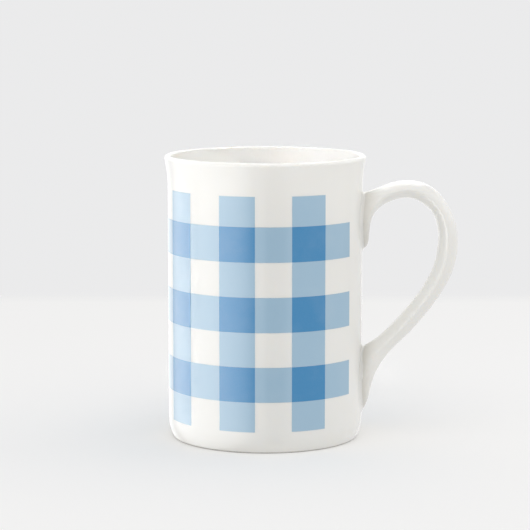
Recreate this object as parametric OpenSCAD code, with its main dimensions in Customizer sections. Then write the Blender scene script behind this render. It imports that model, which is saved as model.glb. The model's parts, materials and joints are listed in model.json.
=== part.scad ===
// Tall straight mug of thin glazed bone china, with a looped strap handle and a two-blue gingham check.
// The cup stands on the plane z = 0, its axis is the Z axis, and the handle lies in the XZ plane towards +X.

/* [Cup] */
// Height from the table to the top of the lip
mug_h = 108; // [104:1:120]
// Outer radius of the straight wall
wall_r = 37; // [34:0.5:40]
// Thickness of the wall and of the lip
wall_t = 2.3; // [1.8:0.1:3]
// How far the lip turns out past the straight wall
lip_out = 1.2; // [0.8:0.1:2]
// Height of the stretch below the lip that turns outwards
flare_h = 12; // [8:0.5:12]

/* [Foot] */
// Height of the rounded toe where the wall turns in to the foot
toe_h = 8; // [5:0.5:8]
// How far the toe turns in at the table
toe_in = 2; // [1:0.25:3]
// Width of the flat ring that the mug stands on
ring_w = 1.8; // [1.2:0.1:3]
// Height of the hollow inside the foot ring
recess_h = 2.6; // [1.5:0.1:4]
// Thickness of the cup's floor
floor_t = 3.2; // [2.5:0.1:5]
// Radius of the corner between the wall and the floor, inside
corner_r = 8; // [4:0.5:12]

/* [Handle] */
// How far the handle stands out from the wall
reach = 36.3; // [32:0.1:42]
// Height of the top of the handle's arch
arch_z = 98.4; // [90:0.1:100]
// Height of the tip where the lower end dies into the wall
tail_z = 9.4; // [8:0.1:14]
// Depth of the grip, front to back
grip_w = 10; // [8:0.5:12]
// Depth of both ends where they are stuck to the wall
pad_w = 16; // [13:0.5:20]
// How strongly the handle's section draws in to a crest on its front and back, where 0 is a plain oval
crest = 0.4; // [0:0.05:0.8]

/* [Slip joints] */
// Thickness of the slip between the wall and the handle
slip_t = 0.4; // [0.2:0.05:0.6]
// How far the slip is squeezed out around each end of the handle
slip_rim = 1.2; // [0.5:0.1:1.5]

/* [Print] */
// Thickness of one layer of fired ink
ink_t = 0.06; // [0.05:0.01:0.1]
// Number of upright stripes around the wall
stripes = 7; // [5:1:7]
// Angle of one upright stripe, and of the gap beside it
stripe_deg = 21.3; // [16:0.1:21.4]
// Angle from the middle of the handle to the nearest end of the level bands
clear_deg = 29; // [25:0.5:32]
// Height of the lower ends of the upright stripes
print_z = 8.3; // [8:0.1:9]
// How far the stripes run on past the lowest and the highest band
stub_h = 11.2; // [8:0.1:11.5]
// Number of level bands
bands = 3; // [2:1:3]
// Height of one level band, and of the gap above it
band_h = 13; // [10:0.1:13]

/* [Hidden] */
$fn = 120;
arc_steps = 12;
china = [0.97, 0.97, 0.96];
raw_china = [0.93, 0.92, 0.9];
light_blue = [0.65, 0.78, 0.91];
deep_blue = [0.33, 0.59, 0.82];

// Lip: a round bead about lip_c. Below it both faces of the wall are arcs about flare_c.
inner_r = wall_r - wall_t;
lip_r = wall_t / 2;
flare_z = mug_h - flare_h;
lip_c = [wall_r + lip_out - lip_r, mug_h - lip_r];
lip_rise = lip_c[1] - flare_z;
lip_shift = lip_c[0] - wall_r;
flare_r = (pow(lip_shift, 2) + pow(lip_rise, 2) - pow(lip_r, 2)) / (2 * (lip_r + lip_shift));
flare_c = [wall_r + flare_r, flare_z];
flare_deg = asin(lip_rise / (flare_r + lip_r));

// Toe: one arc that leaves the wall straight down, and ends on the small round edge of the foot ring.
edge_r = 0.5;
toe_r = (pow(toe_in, 2) + pow(toe_h, 2)) / (2 * toe_in);
toe_c = [wall_r - toe_r, toe_h];
toe_deg = asin((toe_h - edge_r) / (toe_r - edge_r));
ring_outer_c = toe_c + (toe_r - edge_r) * [cos(toe_deg), -sin(toe_deg)];
ring_inner_c = [ring_outer_c[0] - ring_w, edge_r];
cove_r = recess_h - edge_r;
cove_c = [ring_inner_c[0] - edge_r - cove_r, edge_r];

// Inside of the cup
floor_z = recess_h + floor_t;
corner_c = [inner_r - corner_r, floor_z + corner_r];

// Handle: each station has the outer point, the inner point and the share of the way from the grip's
// depth (0) to the pads' depth (1). Points are [distance out from the wall, height above the table],
// drawn for the reach, arch and tail below and stretched to the ones asked for.
drawn_reach = 36.3;
drawn_arch_z = 98.4;
drawn_tail_z = 9.4;
stations = [
    [[-1.5, 92.6], [-1.5, 71.5], 1],
    [[0.3, 93.5], [0.6, 72.5], 1],
    [[2.0, 94.2], [2.2, 74.2], 0.9],
    [[4.5, 95.1], [2.7, 79.0], 0.6],
    [[8.0, 96.5], [3.8, 84.5], 0.3],
    [[12.0, 97.9], [8.0, 89.2], 0.05],
    [[17.0, 98.4], [14.5, 91.7], 0],
    [[22.5, 97.7], [19.5, 91.4], 0],
    [[28.0, 94.6], [23.8, 88.9], 0],
    [[32.4, 89.0], [27.0, 85.2], 0],
    [[35.6, 81.5], [28.6, 79.5], 0],
    [[36.3, 73.5], [28.6, 73.5], 0],
    [[34.6, 64.5], [27.3, 66.5], 0],
    [[30.4, 56.0], [24.3, 60.0], 0],
    [[24.8, 48.0], [19.2, 52.4], 0],
    [[18.5, 40.6], [13.2, 45.4], 0],
    [[12.8, 35.0], [8.4, 40.4], 0.1],
    [[8.8, 30.4], [4.6, 37.2], 0.35],
    [[5.4, 24.8], [1.8, 35.4], 0.7],
    [[3.4, 18.6], [0.2, 34.6], 0.95],
    [[2.0, 13.0], [-0.9, 34.0], 1],
    [[-0.6, 8.6], [-2.0, 33.4], 1],
];
handle_sides = 24;
spline_steps = 2;

// Heights of the handle's two ends on the wall
upper_pad = [72.2, 93.4];
lower_pad = [drawn_tail_z, 35];

// Print
period_deg = 2 * stripe_deg;
band_period = 2 * band_h;
print_h = 2 * stub_h + (2 * bands - 1) * band_h;
wrap_deg = stripes * period_deg;

// Points of an arc about c, from angle a to angle b
function arc(c, r, a, b) = [for (i = [0:arc_steps]) let (t = a + (b - a) * i / arc_steps)
    c + r * [cos(t), sin(t)]];

// A point of the curve that runs smoothly through the values p, at u from 0 to the last one
function at(p, i) = p[max(0, min(len(p) - 1, i))];
function spline(p, u) = let (i = min(floor(u), len(p) - 2), t = u - i,
    a = at(p, i - 1), b = at(p, i), c = at(p, i + 1), d = at(p, i + 2))
    b + t / 2 * (c - a + t * (2 * a - 5 * b + 4 * c - d + t * (3 * b - a - 3 * c + d)));

// Stretches a drawn handle point to the sizes asked for, and a drawn height alone
function stretched_z(z) = tail_z + (z - drawn_tail_z) * (arch_z - tail_z) / (drawn_arch_z - drawn_tail_z);
function stretched(p) = [wall_r + p[0] * reach / drawn_reach, stretched_z(p[1])];

// One oval ring of the handle between its outer and inner points
function handle_ring(u) = let (
    outer = spline([for (s = stations) stretched(s[0])], u),
    inner = spline([for (s = stations) stretched(s[1])], u),
    depth = grip_w + (pad_w - grip_w) * spline([for (s = stations) s[2]], u),
    middle = (outer + inner) / 2, half = (outer - inner) / 2)
    [for (k = [0:handle_sides - 1]) let (
        a = 360 * k / handle_sides,
        p = middle + half * sign(cos(a)) * pow(abs(cos(a)), 1 + crest))
        [p[0], depth / 2 * sin(a), p[1]]];

module cup() {
    color(china)
        rotate_extrude()
            polygon(concat(
                [[0, floor_z], [0, recess_h]],
                arc(cove_c, cove_r, 90, 0),
                arc(ring_inner_c, edge_r, 180, 270),
                arc(ring_outer_c, edge_r, -90, -toe_deg),
                arc(toe_c, toe_r, -toe_deg, 0),
                arc(flare_c, flare_r, 180, 180 - flare_deg),
                arc(lip_c, lip_r, -flare_deg, 180 - flare_deg),
                arc(flare_c, flare_r + wall_t, 180 - flare_deg, 180),
                arc(corner_c, corner_r, 0, -90)));
}

module handle() {
    last = (len(stations) - 1) * spline_steps;
    rings = [for (i = [0:last]) handle_ring(i / spline_steps)];
    n = handle_sides;
    sides = [for (i = [0:last - 1], k = [0:n - 1]) let (a = i * n + k, b = i * n + (k + 1) % n)
        each [[a, b, b + n], [a, b + n, a + n]]];
    ends = [[for (k = [n - 1:-1:0]) k], [for (k = [0:n - 1]) last * n + k]];
    color(china)
        difference() {
            polyhedron(points = [for (r = rings) each r], faces = concat(sides, ends));
            cylinder(h = mug_h, r = wall_r + slip_t);
        }
}

// Curved pad of slip on the wall, a little larger all round than the end of the handle that it holds
module slip_pad(pad) {
    low = stretched_z(pad[0]) - slip_rim;
    high = stretched_z(pad[1]) + slip_rim;
    end_r = pad_w / 2 + slip_rim;
    color(raw_china)
        intersection() {
            difference() {
                cylinder(h = mug_h, r = wall_r + slip_t);
                cylinder(h = mug_h, r = wall_r);
            }
            rotate([90, 0, 90])
                linear_extrude(wall_r + reach) {
                    translate([0, low + end_r]) circle(end_r);
                    translate([0, high - end_r]) circle(end_r);
                    translate([-end_r, low + end_r]) square([2 * end_r, high - low - 2 * end_r]);
                }
        }
}

module upper_slip_joint() {
    slip_pad(upper_pad);
}

module lower_slip_joint() {
    slip_pad(lower_pad);
}

// Curved patch from radius r outwards. It ends at the angle to_deg and lies clockwise of it.
module patch(r, thickness, to_deg, sweep_deg, low, height) {
    rotate([0, 0, to_deg - sweep_deg])
        rotate_extrude(angle = sweep_deg)
            translate([r, low]) square([thickness, height]);
}

function gap_end(k) = -clear_deg - k * period_deg;
function band_low(k) = print_z + stub_h + k * band_period;

// Everything that the pale ink leaves white between the right end of the bands and the last stripe
module white_squares() {
    cut = 1;
    for (i = [0:stripes - 1], k = [0:bands]) {
        open_end = i == 0 ? cut : 0;
        low = k == 0 ? print_z - cut : band_low(k - 1) + band_h;
        high = k == bands ? print_z + print_h + cut : band_low(k);
        patch(wall_r - cut, 2 * cut, gap_end(i) + open_end, stripe_deg + open_end, low, high - low);
    }
}

module print_light_blue() {
    color(light_blue)
        difference() {
            patch(wall_r, ink_t, -clear_deg, wrap_deg, print_z, print_h);
            white_squares();
        }
}

module print_deep_blue() {
    color(deep_blue)
        for (i = [0:stripes - 1], k = [0:bands - 1])
            patch(wall_r + ink_t, ink_t, gap_end(i) - stripe_deg, stripe_deg, band_low(k), band_h);
}

cup();
handle();
upper_slip_joint();
lower_slip_joint();
print_light_blue();
print_deep_blue();
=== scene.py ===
import json
from math import asin, ceil, cos, degrees, hypot, pi, radians, sin
import bmesh
import bpy
import numpy as np
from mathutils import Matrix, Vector

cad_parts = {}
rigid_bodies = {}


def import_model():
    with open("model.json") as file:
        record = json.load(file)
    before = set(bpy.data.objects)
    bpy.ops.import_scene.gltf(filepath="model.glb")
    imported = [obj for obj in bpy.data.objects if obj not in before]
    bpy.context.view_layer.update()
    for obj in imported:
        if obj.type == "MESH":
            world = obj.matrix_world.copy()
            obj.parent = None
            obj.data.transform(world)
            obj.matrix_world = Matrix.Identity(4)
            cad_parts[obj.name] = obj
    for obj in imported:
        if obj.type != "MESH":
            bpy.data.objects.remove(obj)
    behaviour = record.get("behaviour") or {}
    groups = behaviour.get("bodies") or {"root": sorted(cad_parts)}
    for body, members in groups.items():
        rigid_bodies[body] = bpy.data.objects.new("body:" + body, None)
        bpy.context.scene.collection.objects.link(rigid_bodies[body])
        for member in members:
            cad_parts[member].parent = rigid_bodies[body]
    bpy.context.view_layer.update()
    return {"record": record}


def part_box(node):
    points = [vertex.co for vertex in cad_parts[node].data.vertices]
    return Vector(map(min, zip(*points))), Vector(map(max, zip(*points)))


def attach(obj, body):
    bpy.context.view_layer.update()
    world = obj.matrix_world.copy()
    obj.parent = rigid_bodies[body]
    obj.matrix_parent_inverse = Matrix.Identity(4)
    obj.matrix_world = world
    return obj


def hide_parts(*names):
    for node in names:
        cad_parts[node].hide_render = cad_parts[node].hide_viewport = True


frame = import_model()
mm = 0.001


def mountCalled(name):
    return next(m for m in frame["record"]["mounts"] if m["name"] == name)


# Sizes that the frame settles
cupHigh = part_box("cup")[1]
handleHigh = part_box("handle")[1]
paleLow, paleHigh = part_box("print_light_blue")
deepLow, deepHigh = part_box("print_deep_blue")
inkLayer = paleLow.x - deepLow.x                        # one layer of fired ink
wallRadius = -paleLow.x - inkLayer                      # the straight wall, outside
innerRadius = mountCalled("mouth")["dims"]["r_mm"] * mm
wallThickness = wallRadius - innerRadius
print("frame loaded, the mug is %.1f mm tall" % (cupHigh.z / mm))


# Helpers for meshes; points are in metres unless a note says otherwise

def arc(centre, radius, start, end, steps):
    turns = [radians(start + (end - start) * i / steps) for i in range(steps + 1)]
    return [(centre[0] + radius * cos(t), centre[1] + radius * sin(t)) for t in turns]


def evenly(points, spacing):                            # neighbours no further apart than that, no point twice
    made = [points[0]]
    for target in points[1:]:
        start = made[-1]
        steps = ceil(hypot(target[0] - start[0], target[1] - start[1]) / spacing - 0.001)
        shares = [k / steps for k in range(1, steps + 1)]
        made += [tuple(a + (b - a) * share for a, b in zip(start, target)) for share in shares]
    return made


def splineThrough(knots, at):                           # natural cubic spline, a knot at each whole number
    n = len(knots)
    bend = np.zeros_like(knots)
    links = 4 * np.eye(n - 2) + np.eye(n - 2, k=1) + np.eye(n - 2, k=-1)
    bend[1:-1] = np.linalg.solve(links, 6 * (knots[2:] - 2 * knots[1:-1] + knots[:-2]))
    i = np.minimum(at.astype(int), n - 2)
    t = (at - i)[:, None]
    straight = (1 - t) * knots[i] + t * knots[i + 1]
    return straight - t * (1 - t) / 6 * ((2 - t) * bend[i] + (1 + t) * bend[i + 1])


def loftRings(rings, closed=False):                     # quads between rings of equal length
    count, sides = len(rings), len(rings[0])
    faces = []
    for i in range(count if closed else count - 1):
        a, b = i * sides, (i + 1) % count * sides
        for k in range(sides):
            j = (k + 1) % sides
            faces.append((a + k, a + j, b + j, b + k))
    return [tuple(p) for ring in rings for p in ring], faces


def capEnds(verts, faces, count, sides, first, last):   # closes a loft with a fan at each end
    verts += [tuple(first), tuple(last)]
    under, over = len(verts) - 2, len(verts) - 1
    top = (count - 1) * sides
    faces += [((k + 1) % sides, k, under) for k in range(sides)]
    faces += [(top + k, top + (k + 1) % sides, over) for k in range(sides)]


def addPiece(name, verts, faces, node, material, crease=40):
    mesh = bpy.data.meshes.new(name)
    mesh.from_pydata(verts, [], faces)
    work = bmesh.new()
    work.from_mesh(mesh)
    bmesh.ops.recalc_face_normals(work, faces=work.faces)
    work.to_mesh(mesh)
    work.free()
    mesh.polygons.foreach_set("use_smooth", [True] * len(mesh.polygons))
    mesh.set_sharp_from_angle(angle=radians(crease))
    mesh.materials.append(material)
    piece = bpy.data.objects.new(name, mesh)
    bpy.context.scene.collection.objects.link(piece)
    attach(piece, "root")
    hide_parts(node)
    print("made %s with %d faces" % (name, len(mesh.polygons)))
    return piece


# Helpers for materials

class Wire:                                             # a socket that can be used in plain arithmetic
    def __init__(self, bench, socket):
        self.bench = bench
        self.socket = socket

    def __add__(self, other):
        return self.bench.maths("ADD", self, other)

    def __sub__(self, other):
        return self.bench.maths("SUBTRACT", self, other)

    def __rsub__(self, other):
        return self.bench.maths("SUBTRACT", other, self)

    def __mul__(self, other):
        return self.bench.maths("MULTIPLY", self, other)

    __radd__ = __add__
    __rmul__ = __mul__


class Bench:                                            # the nodes of one material
    def __init__(self, name):
        self.material = bpy.data.materials.new(name)
        self.material.use_nodes = True
        self.tree = self.material.node_tree
        self.tree.nodes.clear()
        self.place = self.add("TexCoord", out=3)        # metres in the mug's own frame

    def add(self, kind, settings=None, inputs=None, out=0):
        node = self.tree.nodes.new("ShaderNode" + kind)
        for key, value in (settings or {}).items():
            setattr(node, key, value)
        for key, value in (inputs or {}).items():
            if isinstance(value, Wire):
                self.tree.links.new(value.socket, node.inputs[key])
            else:
                node.inputs[key].default_value = value
        return Wire(self, node.outputs[out] if node.outputs else None)

    def maths(self, operation, a, b):
        return self.add("Math", {"operation": operation}, {0: a, 1: b})

    def blend(self, share, a, b):                       # colours, from a to b
        return self.add("Mix", {"data_type": "RGBA"}, {0: share, 6: a, 7: b}, out=2)

    def flat(self):                                     # the place without its height
        return self.add("VectorMath", {"operation": "MULTIPLY"}, {0: self.place, 1: (1, 1, 0)})

    def cloud(self, size, detail=2, spread=0.5):        # soft noise around 0.5, with blotches of that size
        return self.add("TexNoise", None, {"Vector": self.place, "Scale": 1 / size, "Detail": detail,
                                           "Roughness": spread})

    def between(self, value, low, high):                # 0 below low, 1 above high, smooth in between
        return self.add("MapRange", {"interpolation_type": "SMOOTHSTEP"},
                        {"Value": value, "From Min": low, "From Max": high})

    def relief(self, height, depth):                    # a normal from a height in 0 to 1, depth in metres
        return self.add("Bump", None, {"Height": height, "Distance": depth})

    def fired(self, sockets):                           # closes the tree with the shader
        shader = self.add("BsdfPrincipled", None, sockets)
        self.add("OutputMaterial", None, {"Surface": shader})
        return self.material


# Materials

china = {
    "body": (0.818, 0.81, 0.777, 1),                    # fired bone china under clear glaze
    "thick": (0.804, 0.797, 0.767, 1),                  # where the glaze lies a little thicker
    "paintedRootShade": (0.63, 0.61, 0.56, 1),                    # painted shade on the handle where it meets the wall
    "bareRingContactShade": (0.34, 0.32, 0.29, 1),                      # the ring that was wiped clean before firing, painted dark as the shadow line where the mug meets the table
    # slip: a little creamier than the body, and darker still as painted shade where the handle meets the wall
    "slip": (0.765, 0.75, 0.71, 1),
    "blotch": 0.021,                                    # metres, size of the patches of thicker glaze
    "glow": 0.3,                                        # how much light sinks into the body
    "sink": 0.0015,                                     # metres, how deep
    "softness": 0.42,                                   # roughness below the glaze
    "gloss": 0.16,                                      # roughness of the glaze itself
    "coat": 0.84,                                       # share of the surface that the glaze covers
    "handleGloss": 0.22,
    "lowerLeg": 0.3,                                    # share of the glaze left on the handle's lower leg
    "thinning": (0.066, 0.088),                         # metres up, from the lower leg's glaze to a full one
    "rootShadeReach": 0.0075,                                     # metres out from the wall that the painted shade on the handle reaches
    "wiped": (0.0003, 0.0006),                          # metres up, from the bare ring to the glaze
    "ripple": 0.000012,                                 # metres, unevenness of the glaze
}


def glazedChina(name, tone, gloss, bareRingAndContactShade=False, shadedRootsThinLeg=False):
    bench = Bench(name)
    height = bench.add("SeparateXYZ", None, {"Vector": bench.place}, out=2)
    thicker = bench.between(bench.cloud(china["blotch"]), 0.35, 0.75)
    colour = bench.blend(thicker * 0.6, tone, china["thick"])
    rough = bench.cloud(0.004) * 0.06 + (china["softness"] - 0.03)
    wave = bench.cloud(0.009, 1) * 0.8 + bench.cloud(0.0016, 1) * 0.2
    coat = china["coat"]
    # painted shade: the handle darkens towards the wall, where the cup shades it; the lower leg also gets a
    # thinner glaze
    if shadedRootsThinLeg:
        reach = bench.add("VectorMath", {"operation": "LENGTH"}, {0: bench.flat()}, out=1)
        clear = bench.between(reach + bench.cloud(0.003) * 0.002, wallRadius, wallRadius + china["rootShadeReach"])
        colour = bench.blend(clear, china["paintedRootShade"], colour)
        coat = bench.between(height, *china["thinning"]) * (1 - china["lowerLeg"]) + china["lowerLeg"]
    # painted shade: the bare ring is drawn dark, giving the shadow line where the mug meets the table
    if bareRingAndContactShade:
        glazed = bench.between(height + (bench.cloud(0.0012) - 0.5) * 0.0002, *china["wiped"])
        grit = bench.cloud(0.0003, 3)
        colour = bench.blend(glazed, bench.blend(grit, china["bareRingContactShade"], tone), colour)
        rough = rough * glazed + (1 - glazed) * 0.8
        wave = wave + (1 - glazed) * grit * 2
        coat = glazed * china["coat"]
    return bench.fired({
        "Base Color": colour, "Roughness": rough, "Specular IOR Level": 0.0,
        "Normal": bench.relief(wave, china["ripple"]), "Subsurface Weight": china["glow"],
        "Subsurface Radius": (1, 0.9, 0.75), "Subsurface Scale": china["sink"],
        "Coat Weight": coat, "Coat Roughness": gloss, "Coat IOR": 1.5})


ink = {
    "pale": (0.34, 0.50, 0.632, 1),
    "deep": (0.036, 0.232, 0.475, 1),
    "thin": 0.04,                                       # how much lighter the ink is where it was laid thinly
    "softness": 0.45,
    "ripple": 0.000008,
}


def firedInk(name, tone):
    bench = Bench(name)
    thin = bench.between(bench.cloud(0.012, 3), 0.4, 0.8) * ink["thin"]
    grain = bench.cloud(0.00035, 2, 0.7) * ink["thin"]
    colour = bench.blend(thin + grain, tone, china["body"])
    rough = bench.cloud(0.002) * 0.08 + (ink["softness"] - 0.04)
    wave = bench.cloud(0.009, 1) * 0.8 + bench.cloud(0.0005, 1) * 0.2
    return bench.fired({
        "Base Color": colour, "Roughness": rough, "Specular IOR Level": 0.0,
        "Normal": bench.relief(wave, ink["ripple"]),
        "Coat Weight": 1.0, "Coat Roughness": china["gloss"], "Coat IOR": 1.5})


cupGlaze = glazedChina("cupGlaze", china["body"], china["gloss"], bareRingAndContactShade=True)
# the handle's glaze carries painted shade where it meets the wall
handleGlazeShadedRoots = glazedChina("handleGlazeShadedRoots", china["body"], china["handleGloss"], shadedRootsThinLeg=True)
slipGlazePaintedShade = glazedChina("slipGlazePaintedShade", china["slip"], china["handleGloss"])
paleInkFired = firedInk("paleInkFired", ink["pale"])
deepInkFired = firedInk("deepInkFired", ink["deep"])
print("glazes and inks mixed")


cup = {                                                 # millimetres, apart from the last two
    "flareHeight": 12,                                  # stretch below the lip that turns outwards
    "toeHeight": 8,                                     # stretch above the table that turns in to the foot
    "toeIn": 2,
    "ringWidth": 1.8,                                   # bare ring that the mug stands on
    "edgeRadius": 0.5,                                  # rounding on both edges of the ring
    "recessHeight": 2.6,
    "floorThickness": 3.2,
    "cornerRadius": 8,                                  # between the wall and the floor, inside
    "patch": 3,                                         # longest face along the section
    "segments": 192,                                    # faces around
    "arcSteps": 16,
}


def cupSection():                                       # from under the floor, over foot and lip, to the floor
    size = {key: value * mm for key, value in cup.items()}
    steps = cup["arcSteps"]
    lipRadius = wallThickness / 2
    lip = (cupHigh.x - lipRadius, cupHigh.z - lipRadius)
    flareZ = cupHigh.z - size["flareHeight"]
    rise, shift = lip[1] - flareZ, lip[0] - wallRadius
    flareRadius = (shift ** 2 + rise ** 2 - lipRadius ** 2) / (2 * (lipRadius + shift))
    flare = (wallRadius + flareRadius, flareZ)
    flareTurn = degrees(asin(rise / (flareRadius + lipRadius)))
    edge = size["edgeRadius"]
    toeRadius = (size["toeIn"] ** 2 + size["toeHeight"] ** 2) / (2 * size["toeIn"])
    toe = (wallRadius - toeRadius, size["toeHeight"])
    toeTurn = asin((toe[1] - edge) / (toeRadius - edge))
    ringOuter = (toe[0] + (toeRadius - edge) * cos(toeTurn), edge)
    ringInner = (ringOuter[0] - size["ringWidth"], edge)
    coveRadius = size["recessHeight"] - edge
    cove = (ringInner[0] - edge - coveRadius, edge)
    floorZ = size["recessHeight"] + size["floorThickness"]
    corner = (innerRadius - size["cornerRadius"], floorZ + size["cornerRadius"])
    return evenly(
        [(0, size["recessHeight"])]
        + arc(cove, coveRadius, 90, 0, steps)
        + arc(ringInner, edge, 180, 270, steps // 2)
        + arc(ringOuter, edge, -90, -degrees(toeTurn), steps // 2)
        + arc(toe, toeRadius, -degrees(toeTurn), 0, steps)
        + arc(flare, flareRadius, 180, 180 - flareTurn, steps)
        + arc(lip, lipRadius, -flareTurn, 180 - flareTurn, steps)
        + arc(flare, flareRadius + wallThickness, 180 - flareTurn, 180, steps)
        + arc(corner, size["cornerRadius"], 0, -90, steps)
        + [(0, floorZ)], size["patch"])


def makeCup():
    section = cupSection()
    turns = [2 * pi * k / cup["segments"] for k in range(cup["segments"])]
    rings = [[(r * cos(t), r * sin(t), z) for t in turns] for r, z in section[1:-1]]
    verts, faces = loftRings(rings)
    capEnds(verts, faces, len(rings), len(turns), (0, 0, section[0][1]), (0, 0, section[-1][1]))
    return addPiece("cupBody", verts, faces, "cup", cupGlaze)


makeCup()


handle = {                                              # millimetres; a point is (out from the wall, height)
    "gripDepth": 10,                                    # front to back
    "padDepth": 16,                                     # where the ends are stuck to the wall
    "crest": 0.45,                                      # how far the section draws in, front and back
    "sides": 72,
    "spacing": 0.6,                                     # between rings
    "relax": 3,                                         # passes that even out the curve between the stations
    "stations": [                                       # outer point, inner point, share of the pad's depth
        ((-1.5, 92.6), (-1.5, 71.5), 1),
        ((0.3, 93.5), (0.6, 72.5), 1),
        ((2.0, 94.2), (2.2, 74.2), 0.9),
        ((4.5, 95.1), (2.7, 79.0), 0.6),
        ((8.0, 96.5), (3.8, 84.5), 0.3),
        ((12.0, 97.9), (8.0, 89.2), 0.05),
        ((17.0, 98.4), (14.5, 91.7), 0),
        ((22.5, 97.7), (19.5, 91.4), 0),
        ((28.0, 94.6), (23.8, 88.9), 0),
        ((32.4, 89.0), (27.0, 85.2), 0),
        ((35.6, 81.5), (28.6, 79.5), 0),
        ((36.3, 73.5), (28.6, 73.5), 0),
        ((34.6, 64.5), (27.3, 66.5), 0),
        ((30.4, 56.0), (24.3, 60.0), 0),
        ((24.8, 48.0), (19.2, 52.4), 0),
        ((18.5, 40.6), (13.2, 45.4), 0),
        ((12.8, 35.0), (8.4, 40.4), 0.1),
        ((8.8, 30.4), (4.6, 37.2), 0.35),
        ((5.4, 24.8), (1.8, 35.4), 0.7),
        ((3.4, 18.6), (0.2, 34.6), 0.95),
        ((2.0, 13.0), (-0.9, 34.0), 1),
        ((-0.6, 8.6), (-2.0, 33.4), 1),
    ],
}


def handleRings():                                      # array of rings, sides and the three coordinates
    stations = np.array([(*outer, *inner, share) for outer, inner, share in handle["stations"]])
    fine = splineThrough(stations, np.linspace(0, len(stations) - 1, 40 * len(stations)))
    strides = np.diff((fine[:, 0:2] + fine[:, 2:4]) / 2, axis=0)
    along = np.concatenate([[0], np.cumsum(np.hypot(strides[:, 0], strides[:, 1]))])
    even = np.linspace(0, along[-1], int(along[-1] / handle["spacing"]))
    fine = np.stack([np.interp(even, along, column) for column in fine.T], 1)
    for _ in range(handle["relax"]):
        fine[1:-1] = (fine[:-2] + 2 * fine[1:-1] + fine[2:]) / 4
    fine[:, 0:4:2] *= (handleHigh.x - wallRadius) / mm / fine[:, 0].max()
    fine[:, 1:4:2] *= handleHigh.z / mm / fine[:, 1].max()
    outer, inner, share = fine[:, None, 0:2], fine[:, None, 2:4], fine[:, 4:5]
    turns = 2 * pi * np.arange(handle["sides"]) / handle["sides"]
    across = np.sign(np.cos(turns)) * np.abs(np.cos(turns)) ** (1 + handle["crest"])
    drawn = (outer + inner) / 2 + (outer - inner) / 2 * across[None, :, None]
    depth = handle["gripDepth"] + (handle["padDepth"] - handle["gripDepth"]) * share
    return np.stack([wallRadius + drawn[..., 0] * mm, depth / 2 * mm * np.sin(turns), drawn[..., 1] * mm], -1)


grip = handleRings()


def makeHandle():
    verts, faces = loftRings(grip)
    capEnds(verts, faces, len(grip), handle["sides"], grip[0].mean(0), grip[-1].mean(0))
    return addPiece("handleBody", verts, faces, "handle", handleGlazeShadedRoots)


makeHandle()


slip = {                                                # where the handle is stuck on; millimetres at first
    "onWall": 1.3,                                      # how far it is wiped out over the wall
    "upHandle": 1.5,
    "sunk": 0.35,                                       # depth below both surfaces
    "steps": 10,                                        # faces across the hollow
    "relax": 2,
}


def wallPoints(flat, radius):                           # points rolled out flat, as (around, height), set back
    turns = flat[:, 0] / wallRadius
    return np.stack([radius * np.cos(turns), radius * np.sin(turns), flat[:, 1]], 1)


def leavesWall(rings, radius):                          # where each line along the handle passes that radius
    reach = np.hypot(rings[..., 0], rings[..., 1])
    sides = np.arange(rings.shape[1])
    after = np.argmax(reach > radius, axis=0)
    near, far = reach[after - 1, sides], reach[after, sides]
    share = ((radius - near) / (far - near))[:, None]
    return rings[after - 1, sides] * (1 - share) + rings[after, sides] * share


def makeSlip(name, node, rings):                        # a hollow band around one end of the handle
    foot = leavesWall(rings, wallRadius)
    high = leavesWall(rings, wallRadius + slip["upHandle"] * mm)
    flat = np.stack([wallRadius * np.arctan2(foot[:, 1], foot[:, 0]), foot[:, 2]], 1)
    for _ in range(slip["relax"]):
        flat = (np.roll(flat, 1, 0) + 2 * flat + np.roll(flat, -1, 0)) / 4
    run = np.roll(flat, -1, 0) - np.roll(flat, 1, 0)
    away = np.stack([run[:, 1], -run[:, 0]], 1) / np.hypot(run[:, 0], run[:, 1])[:, None]
    away *= np.sign(((flat - flat.mean(0)) * away).sum())
    sunk = slip["sunk"] * mm
    low = wallPoints(flat + away * slip["onWall"] * mm, wallRadius - 0.01 * mm)
    bend = wallPoints(flat, wallRadius)
    inward = high.mean(0) - high
    inward /= np.linalg.norm(inward, axis=1)[:, None]
    rows = []
    for t in np.linspace(0, 1, slip["steps"] + 1):
        rows.append(low * (1 - t) ** 2 + bend * 2 * t * (1 - t) + (high + inward * 0.01 * mm) * t ** 2)
    rows.append(high + inward * sunk)
    rows.append(wallPoints(flat - away * sunk, wallRadius - sunk))
    rows.append(wallPoints(flat + away * slip["onWall"] * mm, wallRadius - sunk))
    verts, faces = loftRings(rows, closed=True)
    return addPiece(name, verts, faces, node, slipGlazePaintedShade)


makeSlip("upperSlip", "upper_slip_joint", grip)
makeSlip("lowerSlip", "lower_slip_joint", grip[::-1])


gingham = {                                             # the printed check
    "stripes": 7,                                       # upright
    "stripeTurn": 21.3,                                 # degrees around, of a stripe and of the gap before it
    "clearTurn": 29,                                    # degrees from the handle to the first gap
    "bands": 3,                                         # level
    "faceTurn": 1.2,                                    # degrees around, of the widest face
    "faceHeight": 2,                                    # millimetres
    "sunk": 0.02,                                       # millimetres below the layer underneath
}


def stretches(start, spans, longest):                   # edges of the faces in a row, a flag for each face
    edges, flags = [start], []
    for length, flag in spans:
        count = ceil(abs(length) / longest)
        edges += [edges[-1] + length * k / count for k in range(1, count + 1)]
        flags += [flag] * count
    return edges, flags


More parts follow.
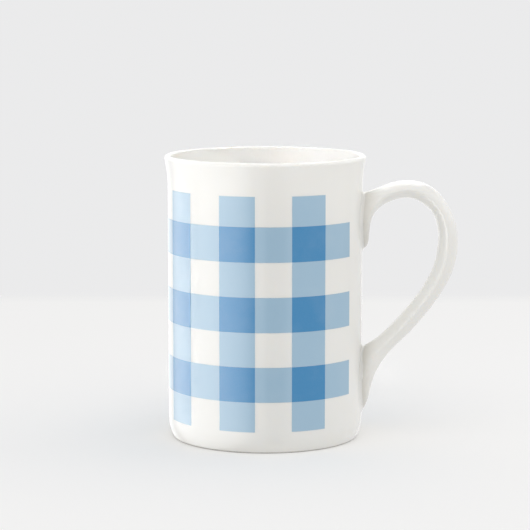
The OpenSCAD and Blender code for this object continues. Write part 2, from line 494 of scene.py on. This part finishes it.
def printFilm(inked, under, over):                      # closed film wherever inked(stripe, band) holds
    turn = -gingham["stripeTurn"]
    columns, stripe = stretches(-gingham["clearTurn"], [(turn, False), (turn, True)] * gingham["stripes"],
                                gingham["faceTurn"])
    bandHeight = (deepHigh.z - deepLow.z) / (2 * gingham["bands"] - 1)
    spans = [(deepLow.z - paleLow.z, False)]
    spans += [(bandHeight, True), (bandHeight, False)] * (gingham["bands"] - 1)
    spans += [(bandHeight, True), (paleHigh.z - deepHigh.z, False)]
    rows, band = stretches(paleLow.z, spans, gingham["faceHeight"] * mm)
    cells = {(i, j) for i in range(len(stripe)) for j in range(len(band)) if inked(stripe[i], band[j])}
    verts, faces, found = [], [], {}

    def corner(place, radius):
        if (place, radius) not in found:
            found[place, radius] = len(verts)
            t = radians(columns[place[0]])
            verts.append((radius * cos(t), radius * sin(t), rows[place[1]]))
        return found[place, radius]

    for i, j in sorted(cells):
        square = [(i, j), (i + 1, j), (i + 1, j + 1), (i, j + 1)]
        faces.append([corner(place, over) for place in square])
        faces.append([corner(place, under) for place in reversed(square)])
        beside = [(i, j - 1), (i + 1, j), (i, j + 1), (i - 1, j)]
        for a, b, other in zip(square, square[1:] + square[:1], beside):
            if other not in cells:
                faces.append([corner(b, over), corner(a, over), corner(a, under), corner(b, under)])
    return verts, faces


def makePrint():
    sunk = gingham["sunk"] * mm
    first, second = wallRadius + inkLayer, wallRadius + 2 * inkLayer
    verts, faces = printFilm(lambda stripe, band: stripe or band, wallRadius - sunk, first)
    addPiece("paleInk", verts, faces, "print_light_blue", paleInkFired)
    verts, faces = printFilm(lambda stripe, band: stripe and band, first - sunk, second)
    addPiece("deepInk", verts, faces, "print_deep_blue", deepInkFired)


makePrint()


camera = {                                              # angles in degrees, the rest in metres
    "turn": 3,                                          # from the front towards the handle
    "away": 0.8534,
    "height": 0.1821,
    "aside": -0.0001,
    "tilt": 7.767,                                      # downwards
    "lens": 153.2,                                      # millimetres
}
ahead = Vector((-sin(radians(camera["turn"])), cos(radians(camera["turn"])), 0))
right = Vector((ahead.y, -ahead.x, 0))
up = Vector((0, 0, 1))


def setCamera():
    lens = bpy.data.cameras.new("camera")
    lens.lens = camera["lens"]
    lens.sensor_width = 36
    lens.clip_start, lens.clip_end = 0.05, 20
    holder = bpy.data.objects.new("camera", lens)
    holder.location = right * camera["aside"] - ahead * camera["away"] + up * camera["height"]
    holder.rotation_euler = (radians(90 - camera["tilt"]), 0, radians(camera["turn"]))
    bpy.context.scene.collection.objects.link(holder)
    bpy.context.scene.camera = holder


table = {                                               # metres
    "behind": 0.372,                                    # where the table ends behind the mug
    "softEdge": 0.045,                                  # stretch over which it fades into the wall
    "front": 1.6,
    "side": 1.6,
    "tone": (0.915, 0.91, 0.90, 1),
    "cloudTone": (0.895, 0.89, 0.88, 1),
    "glow": 0.06,                                       # light that comes up through the table
}


def makeTable():
    bench = Bench("paleTable")
    colour = bench.blend(bench.between(bench.cloud(0.4, 3), 0.3, 0.8), table["tone"], table["cloudTone"])
    depth = bench.add("VectorMath", {"operation": "DOT_PRODUCT"}, {0: bench.place, 1: tuple(ahead)}, out=1)
    fade = 1 - bench.between(depth, table["behind"] - table["softEdge"], table["behind"])
    honed = bench.fired({
        "Base Color": colour, "Alpha": fade, "Roughness": bench.cloud(0.05) * 0.1 + 0.6,
        "Specular IOR Level": 0.0, "Emission Color": table["tone"], "Emission Strength": table["glow"]})
    edges = [(-table["side"], -table["front"]), (table["side"], -table["front"]),
             (table["side"], table["behind"]), (-table["side"], table["behind"])]
    mesh = bpy.data.meshes.new("table")
    mesh.from_pydata([tuple(right * x + ahead * y) for x, y in edges], [], [(0, 1, 2, 3)])
    mesh.materials.append(honed)
    top = bpy.data.objects.new("table", mesh)
    top.visible_glossy = False                          # so the sheens show right down to the foot
    bpy.context.scene.collection.objects.link(top)


# A lamp is: degrees to the right of the camera, degrees up, metres from where it points, width, height, watts,
# spread in degrees, and the height it points at as a share of the mug's.
studio = {
    "air": (0.83, 0.83, 0.835),                         # light from all around, and the wall behind
    "lamps": {
        "overhead": (-15, 65, 1.0, 0.8, 0.8, 1.1, 180, 0.5),
        "farRight": (105, 25, 1.0, 0.8, 0.5, 0.7, 180, 0.5),
        "intoMouth": (-3, 42, 0.5, 0.05, 0.035, 0.0042, 7, 1.04),
    },
    "sheens": {                                         # soft panels that only show in the gloss
        "leftWindow": (-75, 0, 0.45, 1.8, 1.2, 17.8, 128, 0.5),
        "backWindow": (-145, 0, 0.45, 1.6, 1.2, 2.2, 110, 0.5),
        "behind": (180, 25, 1.0, 1.2, 0.6, 1.5, 180, 0.5),
        "highWindow": (180, 65, 1.0, 0.9, 0.9, 8, 180, 0.5),
    },
    "flag": (12, 0.7, 0.3, 1.2),                        # degrees to the right, metres away, width, height
}


def sideways(around):                                   # level, that many degrees to the right of the camera
    return right * sin(radians(around)) - ahead * cos(radians(around))


def hangLamp(name, around, lift, away, width, height, watts, spread, aim):
    lamp = bpy.data.lights.new(name, "AREA")
    lamp.shape = "RECTANGLE"
    lamp.size, lamp.size_y, lamp.energy = width, height, watts
    lamp.spread = radians(spread)
    towards = sideways(around) * cos(radians(lift)) + up * sin(radians(lift))
    holder = bpy.data.objects.new(name, lamp)
    holder.location = up * cupHigh.z * aim + towards * away
    holder.rotation_euler = towards.to_track_quat("Z", "Y").to_euler()
    holder.visible_camera = False
    bpy.context.scene.collection.objects.link(holder)
    return holder


def hangFlag(around, away, width, height):              # black card that darkens the middle of the gloss
    bench = Bench("flagCloth")
    cloth = bench.fired({"Base Color": (0, 0, 0, 1), "Roughness": 1.0, "Specular IOR Level": 0.0})
    level = sideways(around)
    side, top = level.cross(up) * width / 2, up * height / 2
    corners = [level * away + side * x + top * y for x, y in [(-1, -1), (1, -1), (1, 1), (-1, 1)]]
    mesh = bpy.data.meshes.new("flag")
    mesh.from_pydata([tuple(corner) for corner in corners], [], [(0, 1, 2, 3)])
    mesh.materials.append(cloth)
    card = bpy.data.objects.new("flag", mesh)
    bpy.context.scene.collection.objects.link(card)
    card.visible_camera = card.visible_diffuse = card.visible_shadow = card.visible_transmission = False


def lightStudio():
    scene = bpy.context.scene
    air = bpy.data.worlds.new("air")
    air.use_nodes = True
    air.node_tree.nodes["Background"].inputs["Color"].default_value = (*studio["air"], 1)
    scene.world = air
    mugOnly = bpy.data.collections.new("mugOnly")       # the sheens fall on the mug, and only it shades them
    for piece in scene.objects:
        if piece.type == "MESH" and piece.name != "table":
            mugOnly.objects.link(piece)
    for name, values in studio["lamps"].items():
        hangLamp(name, *values)
    for name, values in studio["sheens"].items():
        holder = hangLamp(name, *values)
        holder.visible_diffuse = False
        holder.light_linking.blocker_collection = mugOnly
        holder.light_linking.receiver_collection = mugOnly
    hangFlag(*studio["flag"])
    scene.cycles.caustics_reflective = False            # keeps bright specks from the glaze off the table
    scene.view_settings.view_transform = "Standard"


setCamera()
makeTable()
lightStudio()
print("camera, table and lamps set")
